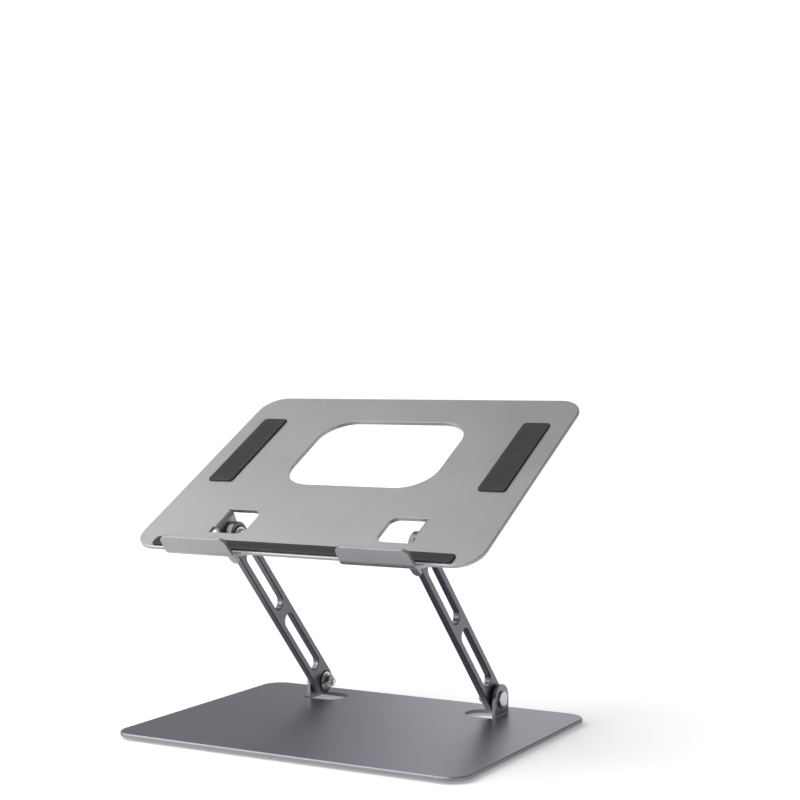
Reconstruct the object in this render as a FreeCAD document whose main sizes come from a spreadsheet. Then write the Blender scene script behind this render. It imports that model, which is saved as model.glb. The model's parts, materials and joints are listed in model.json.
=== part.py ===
import FreeCAD, Part
import math
import os
import re

import Sketcher

# Folding laptop stand: a sheet aluminium base and tray, joined by two slotted arms that turn on
# friction pivots at both ends. Millimetres; +X to the user's right, -Y towards the user, +Z up.
# The origin is on the desk, under the middle of the base plate.

SIZES = {
    # base plate
    "base_width": 261.0,
    "base_depth": 196.0,
    "base_corner": 15.0,
    "base_thickness": 2.5,
    "base_edge_chamfer": 0.7,
    "foot_height": 2.0,
    "foot_diameter": 18.0,
    "foot_inset": 20.0,
    "foot_chamfer": 0.4,
    # pivots
    "base_pivot_y": 71.0,
    "base_pivot_rise": 10.7,
    "arm_spacing": 160.0,
    "arm_elevation": 47.0,
    "tray_tilt": 29.0,
    # sheet ears that carry the pivots
    "ear_inner_face": 74.0,
    "ear_thickness": 2.5,
    "base_ear_radius": 10.5,
    "tray_ear_radius": 10.2,
    "bend_inner_radius": 1.0,
    "opening_inner_edge": 50.0,
    "opening_end_gap": 1.5,
    "opening_front_gap": 3.5,
    "opening_rear_gap": 0.5,
    "tray_opening_corner": 7.0,
    # arms
    "arm_inner_face": 67.5,
    "arm_thickness": 5.0,
    "arm_radius": 10.0,
    "arm_edge_chamfer": 0.5,
    "slot_width": 10.3,
    "slot_margin": 15.8,
    "slot_web": 9.8,
    "recess_diameter": 15.6,
    "recess_depth": 0.8,
    # pivot hardware
    "bolt_diameter": 5.0,
    "bolt_clearance": 0.05,
    "bolt_head_diameter": 11.7,
    "bolt_head_height": 1.5,
    "bolt_chamfer": 0.4,
    "bolt_overhang": 1.2,
    "turning_gap": 0.05,
    "friction_washer_diameter": 18.0,
    "inner_washer_diameter": 15.0,
    "flat_washer_diameter": 13.4,
    "flat_washer_thickness": 1.0,
    "spring_washer_diameter": 10.6,
    "spring_washer_thickness": 0.7,
    "spring_washer_cone": 0.5,
    "nut_flats": 8.0,
    "nut_hex_height": 3.2,
    "nut_collar_height": 1.3,
    "nut_collar_diameter": 7.4,
    # tray plate
    "tray_width": 260.0,
    "tray_thickness": 2.5,
    "tray_corner": 18.0,
    "tray_drop": 12.1,
    "tray_front": 36.5,
    "tray_rear": 160.0,
    "tray_edge_chamfer": 0.4,
    "window_width": 116.0,
    "window_depth": 84.0,
    "window_corner": 24.0,
    "window_front": 44.0,
    # front hooks
    "hook_centre": 67.0,
    "hook_width": 53.0,
    "hook_top_width": 51.0,
    "hook_corner": 5.0,
    "hook_root_fillet": 6.0,
    "hook_bend_radius": 9.0,
    "hook_lean": 11.0,
    "hook_rise": 19.0,
    # stop tongues
    "stop_inner_face": 67.2,
    "stop_width": 5.6,
    "stop_angle": 68.0,
    "stop_reach": 13.5,
    "stop_clearance": 0.3,
    # rubber
    "pad_thickness": 1.2,
    "pad_inset": 3.0,
    "pad_corner": 2.5,
    "front_pad_width": 226.0,
    "front_pad_depth": 9.0,
    "front_pad_inset": 1.5,
    "side_pad_width": 20.0,
    "side_pad_depth": 84.0,
    "side_pad_inset": 14.0,
    "hook_pad_top_gap": 1.6,
}

# Places worked out from the sizes.
BASE_TOP = "(foot_height + base_thickness)"
BASE_PIVOT_Z = f"({BASE_TOP} + base_pivot_rise)"
TRAY_PIVOT_Y = "(base_pivot_y - arm_spacing * cos(arm_elevation))"
TRAY_PIVOT_Z = f"({BASE_PIVOT_Z} + arm_spacing * sin(arm_elevation))"
EAR_OUTER_FACE = "(ear_inner_face + ear_thickness)"
ARM_OUTER_FACE = "(arm_inner_face + arm_thickness)"
BEND_EDGE = f"({EAR_OUTER_FACE} + bend_inner_radius)"
TRAY_TOP = "(tray_drop + tray_thickness)"
# How far a cutting outline runs past the material it trims.
SPARE = "1"
BOLT_HOLE = "(bolt_diameter + 2 * bolt_clearance)"

document = FreeCAD.newDocument("LaptopStand")
sheet = document.addObject("Spreadsheet::Sheet", "Sizes")
subparts = []


def fill_sheet():
    """One row for each size: its name beside its value."""
    for row, (name, size) in enumerate(SIZES.items(), start=1):
        sheet.set(f"A{row}", name)
        sheet.set(f"B{row}", str(size))
        sheet.setAlias(f"B{row}", name)
    document.recompute()


def on_sheet(formula):
    """The formula with each size's name pointed at its cell."""
    def cell(match):
        word = match.group(0)
        return f"Sizes.{word}" if word in SIZES else word
    return re.sub(r"[a-z_]+", cell, str(formula))


def number(formula):
    """The value that a formula on the sizes has now."""
    return float(sheet.evalExpression(on_sheet(formula)))


def bind(item, **formulas):
    """Ties properties of an object to formulas on the sheet."""
    for name, formula in formulas.items():
        item.setExpression(name, on_sheet(formula))


def place(item, y="0", z="0", turn="0"):
    """Puts an object at Y and Z, turned about X, by formulas."""
    item.Placement = FreeCAD.Placement(
        FreeCAD.Vector(0, number(y), number(z)), FreeCAD.Rotation(FreeCAD.Vector(1, 0, 0), number(turn)))
    item.setExpression(".Placement.Base.y", on_sheet(y))
    item.setExpression(".Placement.Base.z", on_sheet(z))
    item.setExpression(".Placement.Rotation.Angle", on_sheet(turn))


def at_base_pivot(item):
    """Puts an object drawn about the X axis at the base pivot."""
    place(item, "base_pivot_y", BASE_PIVOT_Z)


def at_tray_pivot(item, turn="0"):
    """Puts an object drawn about the X axis at the tray pivot, turned about it."""
    place(item, TRAY_PIVOT_Y, TRAY_PIVOT_Z, turn)


# --- sketches -------------------------------------------------------------------------------------

def new_body(label):
    """An empty body."""
    return document.addObject("PartDesign::Body", label)


def origin_feature(body, role):
    """A plane or an axis of the body's own origin."""
    return next(item for item in body.Origin.OriginFeatures if item.Role == role)


def new_sketch(body, plane, height="0", shift="0", tilt="0"):
    """An empty sketch on one of the body's planes, raised, moved along its Y and tilted about its X."""
    sketch = body.newObject("Sketcher::SketchObject", f"{body.Name}_outline")
    sketch.AttachmentSupport = (origin_feature(body, plane), [""])
    sketch.MapMode = "FlatFace"
    sketch.AttachmentOffset = FreeCAD.Placement(
        FreeCAD.Vector(0, number(shift), number(height)), FreeCAD.Rotation(FreeCAD.Vector(1, 0, 0), number(tilt)))
    sketch.setExpression(".AttachmentOffset.Base.y", on_sheet(shift))
    sketch.setExpression(".AttachmentOffset.Base.z", on_sheet(height))
    sketch.setExpression(".AttachmentOffset.Rotation.Angle", on_sheet(tilt))
    return sketch


def constrain(sketch, kind, *places, formula=None):
    """Adds a constraint, tied to a formula when it has one."""
    if formula is None:
        return sketch.addConstraint(Sketcher.Constraint(kind, *places))
    index = sketch.addConstraint(Sketcher.Constraint(kind, *places, number(formula)))
    sketch.setExpression(f"Constraints[{index}]", on_sheet(formula))
    return index


def pin_down(sketch, geometry, vertex, x, y):
    """Fixes a vertex at X and Y of the sketch."""
    constrain(sketch, "DistanceX", -1, 1, geometry, vertex, formula=x)
    constrain(sketch, "DistanceY", -1, 1, geometry, vertex, formula=y)


def add_outline(sketch, corners):
    """A closed outline through corners (x, y, radius), anticlockwise; a radius of None is sharp."""
    count = len(corners)
    points = [FreeCAD.Vector(number(x), number(y), 0) for x, y, _ in corners]
    starts, ends, arcs = [], [], {}
    for index, (_, _, radius) in enumerate(corners):
        here, before, after = points[index], points[index - 1], points[(index + 1) % count]
        if radius is None:
            starts.append(here)
            ends.append(here)
            continue
        to_before, to_after = (before - here).normalize(), (after - here).normalize()
        half_angle = to_before.getAngle(to_after) / 2
        reach = number(radius) / math.tan(half_angle)
        bisector = (to_before + to_after).normalize()
        middle = here + bisector * (reach ** 2 + number(radius) ** 2) ** 0.5
        ends.append(here + to_before * reach)
        starts.append(here + to_after * reach)
        mid_arc = middle - bisector * number(radius)
        arcs[index] = Part.Arc(ends[-1], mid_arc, starts[-1])
    marks = [sketch.addGeometry(Part.Point(point), True) for point in points]
    lines = [sketch.addGeometry(Part.LineSegment(starts[index], ends[(index + 1) % count]), False)
             for index in range(count)]
    for index, (x, y, _) in enumerate(corners):
        pin_down(sketch, marks[index], 1, x, y)
    for index in range(count):
        following = (index + 1) % count
        if index in arcs:
            constrain(sketch, "PointOnObject", marks[index], 1, lines[index])
        if following in arcs:
            constrain(sketch, "PointOnObject", marks[following], 1, lines[index])
    for index, (_, _, radius) in enumerate(corners):
        incoming, outgoing = lines[index - 1], lines[index]
        if radius is None:
            constrain(sketch, "Coincident", incoming, 2, marks[index], 1)
            constrain(sketch, "Coincident", outgoing, 1, marks[index], 1)
            continue
        arc = sketch.addGeometry(arcs[index], False)
        clockwise = arc_is_clockwise(ends[index], points[index], starts[index])
        first, last = (2, 1) if clockwise else (1, 2)
        constrain(sketch, "Tangent", incoming, 2, arc, first)
        constrain(sketch, "Tangent", arc, last, outgoing, 1)
        constrain(sketch, "Radius", arc, formula=radius)


def arc_is_clockwise(start, corner, end):
    """Whether an outline turns right at a corner."""
    return (corner - start).cross(end - corner).z < 0


def add_rectangle(sketch, left, right, low, high, radius=None):
    """A rectangle between four sides, its corners rounded when a radius is given."""
    add_outline(sketch, [(left, low, radius), (right, low, radius), (right, high, radius), (left, high, radius)])


def add_circle(sketch, x, y, diameter):
    """A circle of a given diameter."""
    centre = FreeCAD.Vector(number(x), number(y), 0)
    circle = sketch.addGeometry(Part.Circle(centre, FreeCAD.Vector(0, 0, 1), number(diameter) / 2), False)
    pin_down(sketch, circle, 3, x, y)
    constrain(sketch, "Diameter", circle, formula=diameter)


def add_slot(sketch, start_x, end_x, radius):
    """A slot along the sketch's X axis, between the centres of its two round ends."""
    first, last, size = number(start_x), number(end_x), number(radius)
    normal = FreeCAD.Vector(0, 0, 1)
    left_circle = Part.Circle(FreeCAD.Vector(first, 0, 0), normal, size)
    right_circle = Part.Circle(FreeCAD.Vector(last, 0, 0), normal, size)
    quarter, half = math.pi / 2, math.pi
    left = sketch.addGeometry(Part.ArcOfCircle(left_circle, quarter, quarter + half), False)
    right = sketch.addGeometry(Part.ArcOfCircle(right_circle, -quarter, quarter), False)
    low = sketch.addGeometry(Part.LineSegment(
        FreeCAD.Vector(first, -size, 0), FreeCAD.Vector(last, -size, 0)), False)
    high = sketch.addGeometry(Part.LineSegment(
        FreeCAD.Vector(last, size, 0), FreeCAD.Vector(first, size, 0)), False)
    constrain(sketch, "Tangent", left, 2, low, 1)
    constrain(sketch, "Tangent", low, 2, right, 1)
    constrain(sketch, "Tangent", right, 2, high, 1)
    constrain(sketch, "Tangent", high, 2, left, 1)
    pin_down(sketch, left, 3, start_x, "0")
    pin_down(sketch, right, 3, end_x, "0")
    constrain(sketch, "Radius", left, formula=radius)


def add_tab(sketch, centre_x, root_y, end_y, radius):
    """A tab with straight sides and one round end, whose centre is at end_y; it points up or down."""
    middle, root, end, size = number(centre_x), number(root_y), number(end_y), number(radius)
    up = end > root
    half = math.pi
    circle = Part.Circle(FreeCAD.Vector(middle, end, 0), FreeCAD.Vector(0, 0, 1), size)
    arc = sketch.addGeometry(Part.ArcOfCircle(circle, 0 if up else half, half if up else 2 * half), False)
    near, far = (middle + size, middle - size) if up else (middle - size, middle + size)
    side = sketch.addGeometry(Part.LineSegment(
        FreeCAD.Vector(near, root, 0), FreeCAD.Vector(near, end, 0)), False)
    back = sketch.addGeometry(Part.LineSegment(
        FreeCAD.Vector(far, end, 0), FreeCAD.Vector(far, root, 0)), False)
    base = sketch.addGeometry(Part.LineSegment(
        FreeCAD.Vector(far, root, 0), FreeCAD.Vector(near, root, 0)), False)
    constrain(sketch, "Tangent", side, 2, arc, 1)
    constrain(sketch, "Tangent", arc, 2, back, 1)
    constrain(sketch, "Coincident", back, 2, base, 1)
    constrain(sketch, "Coincident", base, 2, side, 1)
    constrain(sketch, "Horizontal", base)
    pin_down(sketch, arc, 3, centre_x, end_y)
    constrain(sketch, "DistanceY", -1, 1, base, 1, formula=root_y)
    constrain(sketch, "Radius", arc, formula=radius)


# --- features -------------------------------------------------------------------------------------

def pad(body, sketch, length, reverse=False, both_ways=False):
    """Adds material over a sketch."""
    feature = body.newObject("PartDesign::Pad", f"{body.Name}_pad")
    feature.Profile = sketch
    feature.Reversed = reverse
    feature.Midplane = both_ways
    bind(feature, Length=length)
    document.recompute()
    return feature


def pocket(body, sketch):
    """Cuts a sketch right through the body, both ways, and makes sure that it removed something."""
    before = body.Shape.Volume
    feature = body.newObject("PartDesign::Pocket", f"{body.Name}_pocket")
    feature.Profile = sketch
    feature.Type = "ThroughAll"
    feature.Midplane = True
    document.recompute()
    if not body.Shape.Volume < before:
        raise RuntimeError(f"{body.Name}: a pocket removed nothing")
    return feature


def shallow_pocket(body, sketch, depth, reverse=False):
    """Cuts a sketch to a depth, and makes sure that it removed something."""
    before = body.Shape.Volume
    feature = body.newObject("PartDesign::Pocket", f"{body.Name}_recess")
    feature.Profile = sketch
    feature.Reversed = reverse
    bind(feature, Length=depth)
    document.recompute()
    if not body.Shape.Volume < before:
        raise RuntimeError(f"{body.Name}: a recess removed nothing")
    return feature


def revolve(body, sketch):
    """Turns a sketch a full turn about the body's X axis."""
    feature = body.newObject("PartDesign::Revolution", f"{body.Name}_revolution")
    feature.Profile = sketch
    feature.ReferenceAxis = (origin_feature(body, "X_Axis"), [""])
    feature.Angle = 360
    document.recompute()
    return feature


def chamfer(body, size, chosen):
    """Chamfers the edges of the body's tip that a test chooses."""
    base = body.Tip
    names = [f"Edge{index}" for index, edge in enumerate(base.Shape.Edges, start=1) if chosen(edge)]
    feature = body.newObject("PartDesign::Chamfer", f"{body.Name}_chamfer")
    feature.Base = (base, names)
    bind(feature, Size=size)
    document.recompute()
    return feature


def edge_lies_in(axis, level):
    """A test for edges that lie wholly in the plane where X, Y or Z (axis 0, 1, 2) has a value."""
    def test(edge):
        box = edge.BoundBox
        low = (box.XMin, box.YMin, box.ZMin)[axis]
        high = (box.XMax, box.YMax, box.ZMax)[axis]
        return abs(low - level) < 1e-4 and abs(high - level) < 1e-4
    return test


def finish(item, label):
    """Labels a finished sub-part and puts it on the list."""
    item.Label = label
    subparts.append(item)
    return item


def mirror_to_left(item, label):
    """The left-hand copy of a right-hand sub-part, mirrored in the plane X = 0."""
    copy = document.addObject("Part::Mirroring", label)
    copy.Source = item
    copy.Normal = FreeCAD.Vector(1, 0, 0)
    copy.Base = FreeCAD.Vector(0, 0, 0)
    return finish(copy, label)


# --- base -----------------------------------------------------------------------------------------

def add_ear(body, centre_y, root_z, pivot_z, radius, sheet_low, sheet_thickness, upwards):
    """Two ears bent out of a sheet, one on each side, with the bolt hole through both."""
    outer_radius = f"(bend_inner_radius + {sheet_thickness})"
    sheet_high = f"({sheet_low} + {sheet_thickness})"
    for side in (1, -1):
        near = "ear_inner_face" if side > 0 else f"-{EAR_OUTER_FACE}"
        plate = new_sketch(body, "YZ_Plane", near)
        add_tab(plate, centre_y, root_z, pivot_z, radius)
        pad(body, plate, "ear_thickness")
        bend = new_sketch(body, "XZ_Plane", f"-({centre_y})")
        inside, outside = (sheet_high, sheet_low) if upwards else (sheet_low, sheet_high)
        leg_end = f"({root_z} {'+' if upwards else '-'} bend_inner_radius)"
        corners = [
            (f"{side} * ear_inner_face", outside, outer_radius),
            (f"{side} * ({BEND_EDGE} + bend_inner_radius)", outside, None),
            (f"{side} * ({BEND_EDGE} + bend_inner_radius)", inside, None),
            (f"{side} * {EAR_OUTER_FACE}", inside, "bend_inner_radius"),
            (f"{side} * {EAR_OUTER_FACE}", leg_end, None),
            (f"{side} * ear_inner_face", leg_end, None),
        ]
        add_outline(bend, corners)
        pad(body, bend, f"2 * {radius}", both_ways=True)
    hole = new_sketch(body, "YZ_Plane")
    add_circle(hole, centre_y, pivot_z, BOLT_HOLE)
    pocket(body, hole)


def add_ear_opening(body, front, rear, corner):
    """The openings left in a sheet where its two ears were cut out of it and bent."""
    for side in (1, -1):
        opening = new_sketch(body, "XY_Plane")
        add_outline(opening, [
            (f"{side} * opening_inner_edge", front, corner),
            (f"{side} * {BEND_EDGE}", front, None),
            (f"{side} * {BEND_EDGE}", rear, None),
            (f"{side} * opening_inner_edge", rear, corner),
        ])
        pocket(body, opening)


def make_base_plate():
    """The sheet-metal base, with an opening and an upright ear on each side near its rear."""
    body = new_body("base_plate")
    plate = new_sketch(body, "XY_Plane")
    add_rectangle(plate, "-base_width / 2", "base_width / 2", "-base_depth / 2", "base_depth / 2",
                  "base_corner")
    pad(body, plate, "base_thickness")
    chamfer(body, "base_edge_chamfer", edge_lies_in(2, number("base_thickness")))
    add_ear_opening(body, "base_pivot_y - base_ear_radius - opening_front_gap",
                    "base_pivot_y + base_ear_radius + opening_rear_gap", "base_ear_radius + opening_end_gap")
    add_ear(body, "base_pivot_y", "base_thickness + bend_inner_radius", "base_thickness + base_pivot_rise",
            "base_ear_radius", "0", "base_thickness", upwards=True)
    place(body, z="foot_height")
    finish(body, "base_plate")


def make_base_feet():
    """Four thin rubber feet under the corners of the base."""
    for end, end_name in ((-1, "front"), (1, "rear")):
        for side, side_name in ((-1, "left"), (1, "right")):
            label = f"base_foot_{end_name}_{side_name}"
            body = new_body(label)
            disc = new_sketch(body, "XY_Plane")
            add_circle(disc, f"{side} * (base_width / 2 - foot_inset)",
                       f"{end} * (base_depth / 2 - foot_inset)", "foot_diameter")
            pad(body, disc, "foot_height")
            chamfer(body, "foot_chamfer", edge_lies_in(2, 0))
            finish(body, label)


# --- arms -----------------------------------------------------------------------------------------

def make_arms():
    """The two slotted flat arms; each is drawn along +Y from its base pivot, then turned up."""
    body = new_body("right_arm")
    bar = new_sketch(body, "YZ_Plane", "arm_inner_face")
    add_slot(bar, "0", "arm_spacing", "arm_radius")
    pad(body, bar, "arm_thickness")
    slot_end = "slot_margin + slot_width / 2"
    slot_middle = "(slot_web + slot_width) / 2"
    for start, end in ((slot_end, f"arm_spacing / 2 - {slot_middle}"),
                       (f"arm_spacing / 2 + {slot_middle}", f"arm_spacing - ({slot_end})")):
        slot = new_sketch(body, "YZ_Plane")
        add_slot(slot, start, end, "slot_width / 2")
        pocket(body, slot)
    for level in ("arm_inner_face", ARM_OUTER_FACE):
        chamfer(body, "arm_edge_chamfer", edge_lies_in(0, number(level)))
    bores = new_sketch(body, "YZ_Plane")
    add_circle(bores, "0", "0", BOLT_HOLE)
    add_circle(bores, "arm_spacing", "0", BOLT_HOLE)
    pocket(body, bores)
    recesses = new_sketch(body, "YZ_Plane", "arm_inner_face")
    add_circle(recesses, "0", "0", "recess_diameter")
    add_circle(recesses, "arm_spacing", "0", "recess_diameter")
    shallow_pocket(body, recesses, "recess_depth", reverse=True)
    place(body, "base_pivot_y", BASE_PIVOT_Z, "180 - arm_elevation")
    finish(body, "right_arm")
    mirror_to_left(body, "left_arm")


# --- pivot hardware -------------------------------------------------------------------------------

def make_ring(label, start_x, thickness, outer, inner):
    """A flat ring about the X axis."""
    body = new_body(label)
    ring = new_sketch(body, "YZ_Plane", start_x)
    add_circle(ring, "0", "0", outer)
    add_circle(ring, "0", "0", inner)
    pad(body, ring, thickness)
    return body


def make_pivot(name, put_in_place):
    """The bolt, washers and lock nut of one pair of pivots, built on the right and mirrored."""
    inner_end = "(arm_inner_face - turning_gap)"
    flat_end = f"({inner_end} - flat_washer_thickness)"
    spring_end = f"({flat_end} - spring_washer_thickness - spring_washer_cone)"
    nut_end = f"({spring_end} - nut_hex_height - nut_collar_height)"
    pieces = {
        "bolt": make_bolt(f"right_{name}_bolt", f"({nut_end} - bolt_overhang)"),
        "friction_washer": make_ring(
            f"right_{name}_friction_washer", f"{ARM_OUTER_FACE} + turning_gap",
            f"ear_inner_face - {ARM_OUTER_FACE} - turning_gap", "friction_washer_diameter", BOLT_HOLE),
        "inner_washer": make_ring(
            f"right_{name}_inner_washer", inner_end, "recess_depth", "inner_washer_diameter", BOLT_HOLE),
        "flat_washer": make_ring(
            f"right_{name}_flat_washer", flat_end, "flat_washer_thickness", "flat_washer_diameter", BOLT_HOLE),
        "spring_washer": make_spring_washer(f"right_{name}_spring_washer", flat_end),
        "nut": make_nut(f"right_{name}_nut", spring_end),
    }
    for piece, body in pieces.items():
        put_in_place(body)
        finish(body, f"right_{name}_{piece}")
        mirror_to_left(body, f"left_{name}_{piece}")


def make_bolt(label, tip):
    """A bolt with a low flat head against the ear's outer face and a chamfered tip."""
    head_end = f"({EAR_OUTER_FACE} + bolt_head_height)"
    body = new_body(label)
    section = new_sketch(body, "XY_Plane")
    add_outline(section, [
        (tip, "0", None),
        (head_end, "0", None),
        (head_end, "bolt_head_diameter / 2 - bolt_chamfer", None),
        (f"{head_end} - bolt_chamfer", "bolt_head_diameter / 2", None),
        (EAR_OUTER_FACE, "bolt_head_diameter / 2", None),
        (EAR_OUTER_FACE, "bolt_diameter / 2", None),
        (f"{tip} + bolt_chamfer", "bolt_diameter / 2", None),
        (tip, "bolt_diameter / 2 - bolt_chamfer", None),
    ])
    revolve(body, section)
    return body


def make_spring_washer(label, end):
    """A coned disc spring that presses the nut away from the flat washer."""
    inner, outer = f"({BOLT_HOLE}) / 2", "spring_washer_diameter / 2"
    body = new_body(label)
    section = new_sketch(body, "XY_Plane")
    add_outline(section, [
        (f"{end} - spring_washer_thickness", outer, None),
        (f"{end} - spring_washer_thickness - spring_washer_cone", inner, None),
        (f"{end} - spring_washer_cone", inner, None),
        (end, outer, None),
    ])
    revolve(body, section)
    return body


def make_nut(label, end):
    """A hexagon lock nut with a round collar for its locking ring."""
    body = new_body(label)
    hexagon = new_sketch(body, "YZ_Plane", f"{end} - nut_hex_height")
    add_outline(hexagon, [
        (f"nut_flats / sqrt(3) * cos({angle})", f"nut_flats / sqrt(3) * sin({angle})", None)
        for angle in range(0, 360, 60)
    ])
    pad(body, hexagon, "nut_hex_height")
    collar = new_sketch(body, "YZ_Plane", f"{end} - nut_hex_height - nut_collar_height")
    add_circle(collar, "0", "0", "nut_collar_diameter")
    pad(body, collar, "nut_collar_height")
    chamfer(body, "bolt_chamfer", edge_lies_in(0, number(f"{end} - nut_hex_height - nut_collar_height")))
    bore = new_sketch(body, "YZ_Plane")
    add_circle(bore, "0", "0", BOLT_HOLE)
    pocket(body, bore)
    return body


# --- tray -----------------------------------------------------------------------------------------

def tray_stop_root():
    """Where a stop tongue's inner face meets the tray's underside, as Y from the pivot."""
    arm_turn = "(arm_elevation + tray_tilt)"
    flank = "(arm_radius + stop_clearance)"
    tip_y = f"(stop_reach * cos({arm_turn}) - {flank} * sin({arm_turn}))"
    tip_z = f"(-stop_reach * sin({arm_turn}) - {flank} * cos({arm_turn}))"
    length = f"((tray_drop - {tip_z}) / sin(stop_angle))"
    root = f"({tip_y} - {length} * cos(stop_angle))"
    return root, length


def add_stop_tongues(body):
    """Two tongues bent down from the tray, whose round tips meet the arms when the tray is fully open."""
    root, length = tray_stop_root()
    for side in (1, -1):
        tongue = new_sketch(body, "XY_Plane", "tray_drop", root, "-stop_angle")
        add_tab(tongue, f"{side} * (stop_inner_face + stop_width / 2)", "-tray_thickness",
                f"{length} - stop_width / 2", "stop_width / 2")
        pad(body, tongue, "tray_thickness", reverse=True)


def extrude(sketch, direction, length, label):
    """A solid swept from a free sketch along a direction."""
    solid = document.addObject("Part::Extrusion", label)
    solid.Base = sketch
    solid.DirMode = "Custom"
    solid.Dir = direction
    solid.Solid = True
    bind(solid, LengthFwd=length)
    return solid


def free_sketch(name, rotation):
    """A sketch outside any body, turned into its plane."""
    sketch = document.addObject("Sketcher::SketchObject", name)
    sketch.Placement = FreeCAD.Placement(FreeCAD.Vector(0, 0, 0), rotation)
    return sketch


def make_hook(name, centre):
    """A front hook: its side profile, its face and its plan, each swept and kept where all three meet."""
    low, high, front = "tray_drop", "(tray_drop + hook_rise)", "-tray_front"
    face_y = f"({front} - hook_bend_radius)"
    turn_z = f"({low} + hook_bend_radius)"
    lean_out = f"(({high} - {turn_z}) * tan(hook_lean))"
    heel_out = "(hook_bend_radius * tan(hook_lean))"
    skin = "(tray_thickness / cos(hook_lean))"
    inner_bend = "(hook_bend_radius - tray_thickness)"
    heel_y = f"({face_y} + {heel_out})"
    rise_y = "(tray_thickness * tan(hook_lean))"
    profile = free_sketch(f"{name}_profile", FreeCAD.Rotation(FreeCAD.Vector(1, 1, 1), 120))
    add_outline(profile, [
        (heel_y, low, "hook_bend_radius"),
        (f"{front} + tray_corner", low, None),
        (f"{front} + tray_corner", TRAY_TOP, None),
        (f"{heel_y} - {rise_y} + {skin}", TRAY_TOP, inner_bend),
        (f"{face_y} - {lean_out} + {skin}", high, None),
        (f"{face_y} - {lean_out}", high, None),
    ])
    face = free_sketch(f"{name}_face", FreeCAD.Rotation(FreeCAD.Vector(1, 0, 0), 90))
    wide = "(hook_width / 2 + hook_root_fillet)"
    shoulder = f"({TRAY_TOP} + tray_thickness)"
    add_outline(face, [
        (f"{centre} - {wide}", f"{low} - {SPARE}", None),
        (f"{centre} + {wide}", f"{low} - {SPARE}", None),
        (f"{centre} + {wide}", shoulder, None),
        (f"{centre} + hook_width / 2", shoulder, None),
        (f"{centre} + hook_top_width / 2", high, "hook_corner"),
        (f"{centre} - hook_top_width / 2", high, "hook_corner"),
        (f"{centre} - hook_width / 2", shoulder, None),
        (f"{centre} - {wide}", shoulder, None),
    ])
    plan = free_sketch(f"{name}_plan", FreeCAD.Rotation())
    ahead = f"({face_y} - {lean_out} - {SPARE})"
    add_outline(plan, [
        (f"{centre} - hook_width / 2", ahead, None),
        (f"{centre} + hook_width / 2", ahead, None),
        (f"{centre} + hook_width / 2", front, "hook_root_fillet"),
        (f"{centre} + {wide} + {SPARE}", front, None),
        (f"{centre} + {wide} + {SPARE}", f"{front} + tray_corner + {SPARE}", None),
        (f"{centre} - {wide} - {SPARE}", f"{front} + tray_corner + {SPARE}", None),
        (f"{centre} - {wide} - {SPARE}", front, None),
        (f"{centre} - hook_width / 2", front, "hook_root_fillet"),
    ])
    reach = "(tray_width + tray_rear + hook_rise)"
    swept = [
        extrude(profile, FreeCAD.Vector(1, 0, 0), reach, f"{name}_profile_solid"),
        extrude(face, FreeCAD.Vector(0, -1, 0), reach, f"{name}_face_solid"),
        extrude(plan, FreeCAD.Vector(0, 0, 1), reach, f"{name}_plan_solid"),
    ]
    for solid in swept:
        solid.Symmetric = True
    hook = document.addObject("Part::MultiCommon", name)
    hook.Shapes = swept
    return hook


def make_tray_plate():
    """The sheet-metal tray, drawn level with its pivot at the origin, then lifted and tilted."""
    body = new_body("tray_sheet")
    plate = new_sketch(body, "XY_Plane", "tray_drop")
    add_rectangle(plate, "-tray_width / 2", "tray_width / 2", "-tray_front", "tray_rear", "tray_corner")
    pad(body, plate, "tray_thickness")
    for level in ("tray_drop", TRAY_TOP):
        chamfer(body, "tray_edge_chamfer", edge_lies_in(2, number(level)))
    root, _ = tray_stop_root()
    add_ear_opening(body, f"{root} + bend_inner_radius", "tray_ear_radius + opening_rear_gap",
                    "tray_opening_corner")
    window = new_sketch(body, "XY_Plane")
    add_rectangle(window, "-window_width / 2", "window_width / 2", "window_front",
                  "window_front + window_depth", "window_corner")
    pocket(body, window)
    add_ear(body, "0", "tray_drop - bend_inner_radius", "0", "tray_ear_radius", "tray_drop", "tray_thickness",
            upwards=False)
    add_stop_tongues(body)
    tray = document.addObject("Part::MultiFuse", "tray_plate")
    tray.Shapes = [body, make_hook("right_hook", "hook_centre"), make_hook("left_hook", "-hook_centre")]
    tray.Refine = True
    at_tray_pivot(tray, "tray_tilt")
    finish(tray, "tray_plate")


def make_tray_pads():
    """Rubber strips on the tray's top, along its front edge and down both sides."""
    strips = {
        "tray_front_pad": ("-front_pad_width / 2", "front_pad_width / 2", "-tray_front + front_pad_inset",
                           "-tray_front + front_pad_inset + front_pad_depth"),
        "tray_right_pad": ("tray_width / 2 - side_pad_inset - side_pad_width",
                           "tray_width / 2 - side_pad_inset",
                           "window_front", "window_front + side_pad_depth"),
        "tray_left_pad": ("side_pad_inset - tray_width / 2",
                          "side_pad_inset + side_pad_width - tray_width / 2",
                          "window_front", "window_front + side_pad_depth"),
    }
    for label, sides in strips.items():
        body = new_body(label)
        strip = new_sketch(body, "XY_Plane", TRAY_TOP)
        add_rectangle(strip, *sides, radius="pad_corner")
        pad(body, strip, "pad_thickness")
        at_tray_pivot(body, "tray_tilt")
        finish(body, label)


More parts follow.
